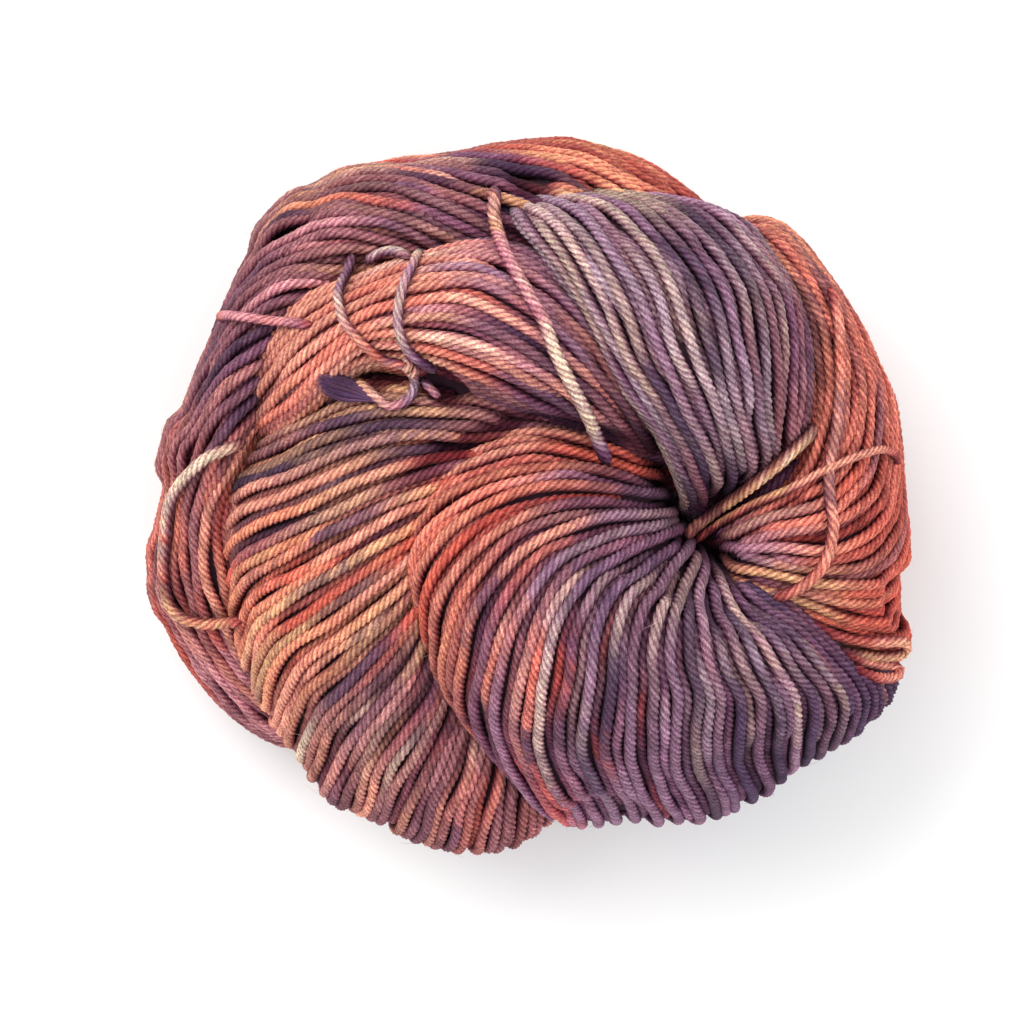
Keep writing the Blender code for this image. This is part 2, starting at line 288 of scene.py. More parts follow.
# the dye baths that the yarn was dipped and speckled in
dyes = {
    "plum": (0.47, 0.32, 0.41),
    "deep": (0.33, 0.25, 0.35),
    "mauve": (0.65, 0.50, 0.59),
    "rose": (0.86, 0.60, 0.61),
    "lilac": (0.73, 0.65, 0.69),
    "sand": (0.86, 0.75, 0.68),
    "olive": (0.78, 0.69, 0.58),
    "cream": (0.95, 0.86, 0.73),
    "gold": (0.95, 0.74, 0.54),
    "peach": (0.97, 0.77, 0.67),
    "amber": (0.94, 0.61, 0.47),
    "salmon": (0.95, 0.66, 0.55),
    "coral": (0.91, 0.53, 0.44),
    "ember": (0.93, 0.45, 0.36),
    "brick": (0.77, 0.38, 0.32),
    "umber": (0.60, 0.40, 0.41),
}


def dyeValues(names):
    return np.array([linear(dyes[name]) for name in names])



# where each dye shows on each turn, seen from above, in millimetres
Pool = namedtuple("Pool", "x y reach dye")
pools = {
    "lowerFan": (
        (-4, 4, 6, "salmon"), (-10, 0, 6, "coral"), (-14, -5, 5, "amber"), (-15, -12, 6, "salmon"),
        (-10, -18, 6, "coral"), (-9, -26, 5, "amber"), (-5, -3, 4, "amber"), (-5, -34, 4, "coral"),
        (2, -47, 4, "ember"), (-1, -9, 5, "deep"), (-4, -20, 5, "plum"), (-3, -31, 5, "plum"),
        (8, 0, 5, "plum"), (12, 6, 4, "ember"), (-8, -7, 5, "ember"), (2, 2, 4, "coral"),
        (0, -38, 5, "plum"), (5, -44, 3, "ember"), (8, -46, 5, "mauve"), (7, -38, 4, "deep"),
        (3, -10, 3, "salmon"), (2, -27, 3, "ember"), (10, -12, 5, "deep"), (9, -20, 6, "mauve"),
        (7, -26, 5, "sand"), (9, -33, 5, "plum"), (14, -20, 4, "sand"), (12, -40, 6, "mauve"),
        (17, -25, 5, "plum"), (18, -34, 5, "lilac"), (18, -14, 5, "mauve"), (22, -20, 5, "olive"),
        (24, -12, 4, "deep"), (26, -25, 5, "mauve"), (27, -33, 4, "sand"), (32, -30, 5, "plum"),
        (31, -39, 6, "mauve"), (20, -45, 6, "mauve"), (38, -36, 6, "deep"), (36, -19, 5, "deep"),
        (37, -28, 4, "lilac"), (43, -31, 6, "plum"), (51, -30, 7, "deep"), (42, -40, 5, "deep"),
        (24, -4, 4, "plum"), (30, -18, 4, "mauve"), (47, -25, 4, "umber"), (35, -31, 4, "olive"),
        (14, -30, 4, "olive"), (25, -38, 5, "deep"), (21, -28, 4, "umber"),
    ),
    "leftFan": (
        (-32, 10, 5, "deep"), (-22, 11, 5, "gold"), (-14, 13, 5, "umber"), (-5, 12, 5, "umber"),
        (-40, 5, 5, "deep"), (-32, 2, 5, "gold"), (-22, 4, 5, "deep"), (-14, 6, 4, "gold"),
        (-42, -2, 5, "salmon"), (-36, -8, 6, "deep"), (-27, -3, 4, "plum"), (-20, -2, 4, "gold"),
        (-15, -4, 4, "ember"), (-42, -17, 5, "amber"), (-37, -20, 4, "ember"), (-29, -13, 4, "ember"),
        (-21, -10, 4, "salmon"), (-33, -24, 5, "gold"), (-25, -18, 5, "gold"), (-20, -21, 5, "deep"),
        (-24, -28, 4, "deep"), (-35, -32, 5, "salmon"), (-27, -34, 4, "cream"), (-30, -42, 5, "umber"),
        (-18, -30, 4, "umber"), (-18, -40, 6, "umber"), (-11, -46, 6, "umber"), (-8, -38, 5, "umber"),
        (-4, -48, 5, "umber"), (0, -50, 4, "coral"), (-12, -32, 4, "brick"), (-20, -48, 5, "plum"),
        (-14, -42, 5, "rose"), (-6, -43, 4, "sand"), (-24, -42, 4, "salmon"), (-30, -27, 3, "gold"),
    ),
    "tiedTurn": (
        (-42, 11, 6, "coral"), (-38, 18, 5, "salmon"), (-33, 14, 5, "amber"), (-31, 25, 5, "salmon"),
        (-27, 31, 4, "coral"), (-24, 25, 5, "salmon"), (-24, 20, 4, "coral"), (-20, 33, 4, "coral"),
        (-16, 27, 5, "gold"), (-17, 21, 4, "rose"), (-12, 33, 4, "salmon"), (-10, 25, 4, "coral"),
        (-9, 19, 4, "umber"), (-8, 35, 4, "mauve"), (-5, 29, 4, "rose"), (-3, 22, 4, "plum"),
        (-2, 16, 4, "plum"), (2, 26, 4, "mauve"), (4, 19, 4, "salmon"), (4, 12, 5, "deep"),
        (8, 20, 4, "umber"), (10, 12, 4, "deep"), (16, 7, 5, "umber"), (-40, 4, 8, "umber"),
        (-14, 30, 3, "peach"), (-29, 18, 3, "peach"), (6, 8, 4, "plum"),
    ),
    "upperTurn": (
        (-1, 41, 5, "lilac"), (5, 43, 5, "mauve"), (14, 43, 5, "olive"), (23, 41, 5, "mauve"),
        (30, 38, 5, "plum"), (3, 33, 5, "sand"), (11, 30, 5, "lilac"), (18, 32, 5, "plum"),
        (14, 36, 5, "deep"), (24, 30, 5, "lilac"), (30, 30, 5, "olive"), (36, 28, 5, "umber"),
        (5, 24, 5, "sand"), (9, 26, 4, "deep"), (12, 19, 5, "mauve"), (19, 20, 5, "olive"),
        (16, 25, 4, "sand"), (22, 24, 4, "deep"), (26, 18, 5, "lilac"), (30, 23, 5, "mauve"),
        (34, 17, 5, "lilac"), (40, 16, 4, "umber"), (38, 22, 4, "plum"), (14, 10, 4, "plum"),
        (20, 6, 4, "deep"), (26, 9, 4, "sand"), (32, 7, 4, "mauve"), (37, 6, 4, "umber"),
        (28, 1, 4, "deep"), (27, 35, 4, "deep"), (33, 34, 4, "lilac"), (34, 24, 4, "deep"),
        (30, 12, 4, "olive"),
    ),
    "rightTurn": (
        (36, 38, 5, "amber"), (42, 35, 5, "umber"), (42, 28, 5, "umber"), (48, 29, 5, "coral"),
        (46, 22, 5, "amber"), (51, 23, 5, "brick"), (53, 14, 5, "coral"), (47, 11, 5, "umber"),
        (41, 6, 5, "coral"), (54, 4, 5, "coral"), (49, 0, 5, "brick"), (42, -3, 5, "coral"),
        (56, -6, 6, "brick"), (35, -7, 4, "mauve"), (39, -9, 4, "umber"), (42, -14, 5, "amber"),
        (50, -15, 6, "brick"), (54, -20, 5, "ember"), (39, -17, 4, "gold"), (56, -26, 6, "brick"),
        (48, -23, 4, "umber"),
    ),
    "outerTurn": (
        (2, 52, 5, "brick"), (14, 51, 4, "amber"), (20, 47, 4, "brick"), (-7, 52, 5, "plum"),
        (8, 48, 4, "gold"), (-4, 47, 4, "deep"), (-13, 50, 4, "amber"), (-22, 49, 5, "umber"),
        (-27, 47, 5, "brick"), (-13, 44, 4, "umber"), (-9, 42, 5, "deep"), (-31, 45, 5, "gold"),
        (-20, 43, 4, "peach"), (-25, 40, 4, "plum"), (-34, 43, 5, "umber"), (-40, 37, 5, "umber"),
        (-41, 31, 5, "umber"), (-36, 34, 4, "umber"), (-46, 25, 6, "deep"), (-43, 22, 5, "umber"),
        (-50, 17, 6, "umber"), (-47, 13, 4, "salmon"), (-53, 10, 5, "umber"), (-55, 1, 5, "coral"),
        (-49, 2, 4, "salmon"), (-51, -9, 4, "coral"), (-56, -9, 5, "umber"), (-50, -18, 4, "salmon"),
        (-54, -17, 4, "brick"), (-50, -26, 5, "rose"), (-45, -30, 4, "umber"), (-38, -36, 6, "rose"),
        (-46, 4, 4, "umber"), (-47, -14, 4, "sand"), (-33, 38, 4, "rose"), (-28, 43, 4, "deep"),
        (-18, 47, 4, "plum"), (-44, 17, 4, "plum"),
    ),
}

dyeing = {
    "strandDifference": 1.10,  # how unlike its neighbours a strand takes each dye
    "sharpness": 1.6,          # how quickly one dye gives way to the next
    "paleness": 0.15,          # how much lighter or darker whole strands come out
    "palest": 0.9,             # the lightest and the darkest of them, as multiples of that
    "darkest": -1.6,
    "spread": 1.2,             # how much further than its pool's reach a dye goes
    "slide": 4.5 * mm,         # how far along itself a strand's dyes are shifted
    "patch": 20 * mm,          # length of the speckles where a ply takes another dye
    "speckle": 0.55,           # how unlike the strand's main dye a speckle is
    "middleMix": 0.45,         # how far a strand's plies have passed to its other dye on average
    "sharedMix": 0.6,          # how far they all pass to it and back together
    "ownMix": 0.55,            # and each ply by itself
}


def dyed(points, turnName):
    # the strand's colour at each of its points, in two draws that its plies pass between
    table = [Pool(*row) for row in pools[turnName]]
    spots = placed(np.array([(pool.x, pool.y, 0) for pool in table]) * mm)[:, :2]
    reach = np.array([pool.reach for pool in table]) * mm * dyeing["spread"]
    taken = dyeValues([pool.dye for pool in table])
    shift = rng.normal(0, dyeing["slide"], 2)
    away = ((points[:, None, :2] + shift - spots) ** 2).sum(2) / reach**2
    shade = 1 + dyeing["paleness"] * np.clip(rng.normal(), dyeing["darkest"], dyeing["palest"])
    draws = []
    main = rng.normal(0, dyeing["strandDifference"], len(table))
    for share in (0, dyeing["speckle"]):
        other = rng.normal(0, dyeing["strandDifference"], len(table))
        liking = main * math.sqrt(1 - share**2) + other * share
        strength = dyeing["sharpness"] * (liking - 0.5 * away)
        weights = np.exp(strength - strength.max(1, keepdims=True))
        weights /= weights.sum(1, keepdims=True)
        draws.append(weights @ taken * shade)
    return draws


# the strands
yarn = {
    "thickness": 1.95 * mm,
    "plies": 5,
    "pointsPerPly": 2,
    "plyTurn": 6.6 * mm,       # one full turn of the plies
    "turnDifference": 0.12,    # how much tighter or looser one strand is plied than another
    "plyTone": 0.26,           # how much lighter or darker one ply is than another
    "valley": 0.76,            # how far out the groove between two plies is, as a share of the radius
    "endTaper": 0.55,          # how thin a strand's cut end is beside the rest
    "ringStep": 0.88 * mm,     # from one ring of points along a strand to the next
    "bedding": 0.95 * mm,      # the strand's middle under the solid's skin
    "levelDrop": 1.3 * mm,     # how much lower the strands of the next level lie
    "levelBlend": 0.4,         # how gently a strand passes from one level to the next
    "topBlend": 12,            # how suddenly a strand passes from the top of its turn to the underside
    "levelsShown": 1.05,       # how many levels of strands show on the underside
    "levelsMore": 0.85,        # and how many more on top
    "underSpacing": 2.0,       # millimetres between strands that show on the underside
    "depthWander": 0.16 * mm,  # how far a strand wanders up and down
    "wanderWave": 34 * mm,     # and over what length
    "lowest": 0.51,            # the least that its middle lies over the surface, in strand thicknesses
    "firstRow": 0.06,          # strands start this far from the first section
    "eyeRows": 1.3,            # within this many sections they come out of the shade painted round the eye
    "eyeLight": 0.16,          # how light the painted shade leaves a strand where it dives into the eye
    "hiddenDepth": 3.9 * mm,   # strands deeper than this don't show
    "eyeDepth": 6.0 * mm,      # how much deeper one can see into the hank's eye
    "leastPlaces": 6,          # stretches with fewer places along the turn are left out
    "shortest": 7 * mm,        # and so are those that are shorter than this
    "mostTriangles": 185000,   # in one piece
}

# how each turn's strands lie: millimetres between neighbours, and between those on top, how far they swing
# sideways, how readily they change level, and how much sooner those on the right wind round than the left
Laying = namedtuple("Laying", "spacing topSpacing swing shift lean")
layings = {
    "lowerFan": Laying(1.45, 2.70, 0.24, 0.18, 0.5),
    "leftFan": Laying(1.70, 2.20, 0.32, 0.18, 0),
    "tiedTurn": Laying(1.65, 2.15, 0.32, 0.18, 0),
    "upperTurn": Laying(1.45, 2.75, 0.28, 0.18, 0),
    "rightTurn": Laying(1.60, 2.50, 0.50, 0.24, 0),
    "outerTurn": Laying(1.62, 2.70, 0.55, 0.26, 0),
}

# places where the strands of one turn sink: plan place and size in millimetres, direction in degrees, how
# far they sink, and how dark the shade painted in the hollow makes them, from 0 to 1; where it is 0 the place
# is one of the outline's, and its strands are pushed towards the hank's middle or, with a drop below 0, away
# from it
Dent = namedtuple("Dent", "turn x y length width angle drop dark")
dents = [Dent(*row) for row in (
    ("leftFan", -13.2, 16.4, 9.5, 5.0, -35, 1.6, 0.82),
    ("tiedTurn", -11.8, 16.9, 9.5, 3.4, -33, 1.2, 0.82),
    ("leftFan", -20.8, 17.6, 8.0, 3.2, 10, 1.2, 0.82),
    ("leftFan", -8.8, 7.6, 25, 3.8, 26, 1.2, 0.80),
    ("tiedTurn", 5.0, 10.4, 22, 3.6, -10, 0.8, 0.72),
    ("outerTurn", 0.5, 46, 9, 3.5, -25, 1.2, 0.82),
    ("rightTurn", 57.5, -15, 9, 8, 90, 2.0, 0),
    ("rightTurn", 56, 8, 20, 10, 100, 0.5, 0),
    ("rightTurn", 50, 28, 26, 10, 130, 1.2, 0),
    ("outerTurn", -37.5, 42.5, 11, 7, 45, -1.3, 0),
    ("outerTurn", -54.5, 8, 9, 7, 75, -1.5, 0),
    ("outerTurn", -57, -2, 10, 6, 90, 0.8, 0),
    ("outerTurn", -56.5, -15.5, 6, 6, 100, -0.6, 0),
    ("outerTurn", -17, 53, 20, 6, 10, 0.9, 0),
    ("outerTurn", 19, 49.5, 22, 7, -25, 0.8, 0),
    ("leftFan", -29, -44.5, 9, 7, -40, -1.4, 0),
    ("lowerFan", 12, -49.5, 14, 9, 5, 1.9, 0),
    ("lowerFan", 31, -45, 16, 8, 28, -1.5, 0),
)]

# one visible stretch of strand: its two draws of dye, the way out of the hank, and the shade painted on it
Run = namedtuple("Run", "points first second up shade")


def plySwell(thread):
    # how far out of its groove each point round the cross-section is, from 0 to 1
    count = thread["plies"] * thread["pointsPerPly"]
    return np.abs(np.sin(math.pi * np.arange(count) / thread["pointsPerPly"]))


def plyProfile(name, thread):
    # the strand's cross-section: a groove and a ridge for each ply
    outline = bpy.data.curves.new(name, "CURVE")
    outline.dimensions = "2D"
    ring = outline.splines.new("POLY")
    swell = plySwell(thread)
    ring.points.add(len(swell) - 1)
    for i, point in enumerate(ring.points):
        angle = 2 * math.pi * i / len(swell)
        radius = thread["valley"] + (1 - thread["valley"]) * swell[i]
        point.co = (radius * math.cos(angle), radius * math.sin(angle), 0, 1)
    ring.use_cyclic_u = True
    return linked(name, outline)


def runLength(points):
    return np.concatenate([[0], np.cumsum(np.linalg.norm(np.diff(points, axis=0), axis=1))])


def pointsAt(line, shares):
    # points at these shares of the line's length
    run = runLength(line)
    return np.stack([np.interp(shares * run[-1], run, column) for column in line.T], 1)


def resampled(points, step, *others):
    run = runLength(points)
    places = np.linspace(0, run[-1], max(3, int(round(run[-1] / step)) + 1))
    out = []
    for values in (points, *others):
        columns = values.reshape(len(values), -1)
        moved = np.stack([np.interp(places, run, column) for column in columns.T], 1)
        out.append(moved[:, 0] if values.ndim == 1 else moved)
    return out


def newCurve(name):
    curve = bpy.data.curves.new(name, "CURVE")
    curve.dimensions = "3D"
    return curve


def addSpline(curve, line, radius):
    spline = curve.splines.new("POLY")
    spline.points.add(len(line) - 1)
    spline.points.foreach_set("co", np.concatenate([line, np.ones((len(line), 1))], 1).ravel())
    spline.points.foreach_set("radius", radius)
    return spline


def tubeMesh(name, curve):
    # the curve's tubes as a mesh, with their ends closed
    tube = linked(name + "Line", curve)
    bpy.context.view_layer.update()
    data = bpy.data.meshes.new_from_object(tube.evaluated_get(bpy.context.evaluated_depsgraph_get()))
    data.name = name
    bpy.data.objects.remove(tube)
    ends = bmesh.new()
    ends.from_mesh(data)
    bmesh.ops.holes_fill(ends, edges=ends.edges)
    ends.to_mesh(data)
    ends.free()
    data.shade_smooth()
    return data


def strandMesh(name, runs, thread):
    # every run as one tube whose cross-section turns along it, so the plies twist round each other
    profile = plyProfile(name + "Profile", thread)
    curve = newCurve(name)
    curve.twist_mode = "MINIMUM"
    curve.bevel_mode = "OBJECT"
    curve.bevel_object = profile
    for run in runs:
        radius = np.full(len(run.points), thread["thickness"] / 2)
        radius[[0, -1]] *= yarn["endTaper"]
        plyTurn = thread["plyTurn"] * (1 + thread["turnDifference"] * rng.uniform(-1, 1))
        tilt = -2 * math.pi * runLength(run.points) / plyTurn + rng.uniform(0, 2 * math.pi)
        addSpline(curve, run.points, radius).points.foreach_set("tilt", tilt)
    data = tubeMesh(name, curve)
    bpy.data.objects.remove(profile)
    addYarnValues(data, runs, thread)
    return linked(name, data)


yarnValues = {"dye": ("FLOAT_COLOR", "color"), "shade": ("FLOAT", "value"),
              "groove": ("FLOAT", "value"), "lay": ("FLOAT_VECTOR", "vector")}


def storeValues(data, values):
    for name, (kind, field) in yarnValues.items():
        attribute = data.attributes.new(name, kind, "POINT")
        attribute.data.foreach_set(field, values[name].astype(np.float32).ravel())


def addYarnValues(data, runs, thread):
    # what the yarn's material reads: its dye, the shade painted on it (darker on its sides, on lower levels,
    # near the eye and in dents' hollows), its grooves and its fibres' lie
    plies, perPly = thread["plies"], thread["pointsPerPly"]
    around = plies * perPly
    positions = np.empty(len(data.vertices) * 3)
    data.vertices.foreach_get("co", positions)
    positions = positions.reshape(-1, 3)
    grooves = 1 - plySwell(thread)
    values = {key: [] for key in yarnValues}
    first = 0
    for run in runs:
        count = len(run.points)
        ring = positions[first:first + count * around].reshape(count, around, 3) - run.points[:, None]
        first += count * around
        length = runLength(run.points)
        # the strand passes between its two draws of dye, and each ply does so a little on its own
        shared = dyeing["middleMix"] + dyeing["sharedMix"] * wander(length, dyeing["patch"])
        mixes = np.stack([smoothStep(shared + dyeing["ownMix"] * wander(length, dyeing["patch"] / 2))
                          for _ in range(plies)], 1)
        tones = 1 + thread["plyTone"] * rng.uniform(-1, 1, plies)
        ply = (run.first[:, None] * (1 - mixes[..., None]) + run.second[:, None] * mixes[..., None])
        ply = ply * tones[None, :, None]
        colour = np.repeat(ply, perPly, axis=1)
        colour[:, ::perPly] = (ply + np.roll(ply, 1, axis=1)) / 2
        values["dye"].append(np.concatenate([colour, np.ones((count, around, 1))], 2).reshape(-1, 4))
        # painted shade: a strand's sides are painted darker below its top, where shade falls between the
        # strands
        height = (ring * run.up[:, None]).sum(2) / (thread["thickness"] / 2)
        lit = smoothStep((height - finishAndShade["flankTop"]) / finishAndShade["flankRise"])
        facing = finishAndShade["flankShade"] + (1 - finishAndShade["flankShade"]) * lit
        values["shade"].append((facing * run.shade[:, None]).ravel())
        values["groove"].append(np.tile(grooves, count))
        # fibres lie along the strand, so their noise is counted round it without the twist
        side = unit(np.cross(run.up, np.gradient(run.points, axis=0)))
        across = (ring * side[:, None]).sum(2) / (thread["thickness"] / 2)
        along = np.broadcast_to((length / mm + rng.uniform(0, 900))[:, None], height.shape)
        values["lay"].append(np.stack([across, height, along], 2).reshape(-1, 3))
    storeValues(data, {key: np.concatenate(parts) for key, parts in values.items()})


def dented(turnName, points, normal):
    # the points moved by their turn's dents, and the painted shade each gets in a dent's hollow
    dark, moved = np.zeros(len(points)), points.copy()
    inward = unit(points * (-1, -1, 0))
    own = [dent for dent in dents if dent.turn == turnName]
    for dent in own:
        angle = math.radians(dent.angle)
        x, y = points[:, 0] / mm - dent.x, points[:, 1] / mm - dent.y
        along = x * math.cos(angle) + y * math.sin(angle)
        across = y * math.cos(angle) - x * math.sin(angle)
        away = np.hypot(along / dent.length, across / dent.width) * 2
        share = smoothStep((form["dentReach"] - away) / form["dentFade"])
        dark = np.maximum(dark, share * dent.dark)
        moved += (share * dent.drop * mm)[:, None] * (-normal if dent.dark else inward)
    return moved, dark


def rank(i):
    # spreads whole numbers evenly over 0 to 1, so that any share of the strands is an even one
    value, share = 0.0, 0.5
    while i:
        value += share * (i & 1)
        i >>= 1
        share /= 2
    return value


def stretches(wanted, least):
    edges = np.flatnonzero(np.diff(np.concatenate([[0], wanted.astype(int), [0]])))
    return [(a, b) for a, b in zip(edges[::2], edges[1::2]) if b - a >= least]


def visibleParts(points):
    # the stretches that lie near enough to the skin to show
    depth = depthUnderSkin(points[::2]) - yarn["eyeDepth"] * nearEye(points[::2])
    near = np.interp(np.arange(len(points)), np.arange(0, len(points), 2), depth) < yarn["hiddenDepth"]
    wider = near.copy()
    for shift in range(1, 4):        # and a little further on
        wider[shift:] |= near[:-shift]
        wider[:-shift] |= near[shift:]
    return stretches(wider, yarn["shortest"] / yarn["ringStep"])


def windTurn(name):
    bundle, laying = bundles[name], layings[name]
    count = int(round(2 * bundle.topRun.max() / mm / laying.spacing))
    # painted shade: strands get darker where they dive into the hank's eye
    eyeShade = yarn["eyeLight"] + (1 - yarn["eyeLight"]) * smoothStep((bundle.rows - 0.1) / yarn["eyeRows"])
    runs = []
    for i in range(count):
        start = 2 * np.pi * (i + 0.5) / count
        share = (i + 0.5) / count + bundle.spin * (1 - laying.lean * np.cos(start))
        spread = 1 + 2 * np.pi * laying.lean * bundle.spin * np.sin(start)
        point, normal = bundle.along(bundle.angleAt(share))
        length = runLength(point)
        # strands that don't fit on top lie one level lower, and those that don't fit there are hidden
        intoTop = 0.25 - np.abs((share + 0.25) % 1 - 0.5)
        onTop = smoothStep(intoTop * yarn["topBlend"] + 0.5)
        pitch = spread * (onTop * bundle.topRun + (1 - onTop) * bundle.underRun) / (count / 2)
        topSpacing = (onTop * laying.topSpacing + (1 - onTop) * yarn["underSpacing"]) * mm
        place = rank(i) * topSpacing / pitch + laying.shift * wander(length, yarn["wanderWave"])
        level = sum(smoothStep((place - full) / yarn["levelBlend"] + 0.5) for full in (1, 2))
        shown = level < yarn["levelsShown"] + yarn["levelsMore"] * onTop
        shown &= bundle.rows > yarn["firstRow"]
        side = unit(np.cross(normal, np.gradient(point, axis=0)))
        lateral = laying.swing * mm * wander(length, yarn["wanderWave"] * 0.9)
        depth = yarn["bedding"] + yarn["depthWander"] * wander(length, yarn["wanderWave"] * 0.7)
        depth = depth + level * yarn["levelDrop"]
        line = placed(point - normal * depth[:, None] + side * lateral[:, None])
        line, dark = dented(name, line, normal)
        line[:, 2] = np.maximum(line[:, 2], yarn["thickness"] * yarn["lowest"])
        # painted shade on the strand: darker on the lower level, near the eye and in the dents' hollows
        shade = (1 - finishAndShade["levelShade"] * np.minimum(level, 1)) * eyeShade * (1 - dark)
        for a, b in stretches(shown, yarn["leastPlaces"]):
            whole, up, dim = resampled(line[a:b], yarn["ringStep"], normal[a:b], shade[a:b])
            first, second = dyed(whole, name)
            for c, d in visibleParts(whole):
                runs.append(Run(whole[c:d], first[c:d], second[c:d], unit(up[c:d]), dim[c:d]))
    return runs


def pieceSized(runs, thread):
    # runs shared out so that no piece gets too heavy
    limit = yarn["mostTriangles"] / (thread["plies"] * thread["pointsPerPly"] * 2)
    groups = max(1, math.ceil(sum(len(run.points) for run in runs) / limit))
    return [runs[i::groups] for i in range(groups)]


def triangleCount(piece):
    return sum(len(face.vertices) - 2 for face in piece.data.polygons)


# the yarn's finish, and the shade painted into its colour
finishAndShade = {
    "roughness": 0.9,
    "sheen": 0.02,
    "sheenRoughness": 0.5,
    "gloss": 0.08,
    "flankShade": 0.25,    # how light the painted shade leaves the sides of a strand
    "flankTop": -0.30,     # from this height up, in strand radii, the painted shade gets lighter
    "flankRise": 1.15,     # and over this much
    "levelShade": 0.37,    # how much darker the painted shade makes the lower strands
    "grooveShade": 0.55,   # how light the painted shade leaves the groove between plies
    "grooveSharpness": 1.6,
    "fibreShade": 0.54,    # how much lighter or darker single fibres are
    "fibreFineness": 4.6,  # how fine they are
    "fibreStretch": 0.42,  # how short their noise is along the strand
    "greenLoss": 1.52,     # painted shade takes green away first, so shaded places go to maroon and violet
    "blueLoss": 1.10,
    "plyHeight": 0.30 * mm,
    "plyBump": 0.5,
    "fibreHeight": 0.10 * mm,
    "fibreBump": 0.7,
}


def nodeMaterial(name, settings):
    # a new material with its shader's settings, and functions to add nodes and to fill in the shader
    material = bpy.data.materials.new(name)
    material.use_nodes = True
    nodes, links = material.node_tree.nodes, material.node_tree.links

    def fill(node, inputs):
        for key, value in inputs.items():
            if isinstance(value, bpy.types.NodeSocket):
                links.new(value, node.inputs[key])
            else:
                node.inputs[key].default_value = value

    def add(kind, out, inputs, **options):
        node = nodes.new(kind)
        for key, value in options.items():
            setattr(node, key, value)
        fill(node, inputs)
        return node.outputs[out]

    def finishWith(inputs):
        fill(nodes["Principled BSDF"], inputs)

    finishWith(settings)
    return material, add, finishWith


def yarnFinishAndShade(name):
    material, add, finishWith = nodeMaterial(name, {
        "Roughness": finishAndShade["roughness"], "Sheen Weight": finishAndShade["sheen"],
        "Sheen Roughness": finishAndShade["sheenRoughness"], "Specular IOR Level": finishAndShade["gloss"]})

    def maths(operation, one, other):
        return add("ShaderNodeMath", "Value", {0: one, 1: other}, operation=operation)

    dye, shade, groove, lay = [add("ShaderNodeAttribute", out, {}, attribute_name=key) for key, out
                               in zip(yarnValues, ("Color", "Fac", "Fac", "Vector"))]
    stretch = add("ShaderNodeMapping", "Vector", {"Vector": lay, "Scale": (1.0, 1.0, finishAndShade["fibreStretch"])})
    fibres = add("ShaderNodeTexNoise", "Fac", {"Vector": stretch, "Scale": finishAndShade["fibreFineness"],
                                               "Detail": 4.0, "Roughness": 0.65})
    # painted shade in the grooves between plies, times the shade painted on the strand, times the fibres'
    # random lighter and darker tone; painted shade takes green and blue away first
    deep = maths("POWER", groove, finishAndShade["grooveSharpness"])
    grooved = add("ShaderNodeMapRange", "Result", {"Value": deep, "To Min": 1.0,
                                                   "To Max": finishAndShade["grooveShade"]})
    lit = add("ShaderNodeMapRange", "Result", {
        "Value": fibres, "From Min": 0.3, "From Max": 0.7,
        "To Min": 1 - finishAndShade["fibreShade"], "To Max": 1 + finishAndShade["fibreShade"]})
    total = maths("MULTIPLY", maths("MULTIPLY", grooved, shade), lit)
    green, blue = [maths("POWER", total, finishAndShade[loss]) for loss in ("greenLoss", "blueLoss")]
    darken = add("ShaderNodeCombineXYZ", "Vector", {"X": total, "Y": green, "Z": blue})
    colour = add("ShaderNodeVectorMath", "Vector", {0: dye, 1: darken}, operation="MULTIPLY")
    plies = add("ShaderNodeBump", "Normal", {"Height": deep, "Strength": finishAndShade["plyBump"],
                                             "Distance": finishAndShade["plyHeight"]}, invert=True)
    normal = add("ShaderNodeBump", "Normal", {"Height": fibres, "Strength": finishAndShade["fibreBump"],
                                              "Distance": finishAndShade["fibreHeight"], "Normal": plies})
    finishWith({"Base Color": colour, "Normal": normal})
    return material


yarnMaterial = yarnFinishAndShade("dyedAndShadedYarn")


def finished(piece, node, material):
    piece.data.materials.clear()
    piece.data.materials.append(material)
    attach(piece, "root")
    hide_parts(node)


woundRuns = []
for turnName in turns:
    runs = windTurn(turnName)
    woundRuns += runs
    triangles = 0
    for number, group in enumerate(pieceSized(runs, yarn), 1):
        piece = strandMesh(f"{turnName}{number}", group, yarn)
        finished(piece, "hank", yarnMaterial)
        triangles += triangleCount(piece)
    metres = sum(len(run.points) for run in runs) * yarn["ringStep"]
    note(f"{turnName}: {len(runs)} strands, {metres:.2f} m, {triangles} triangles")


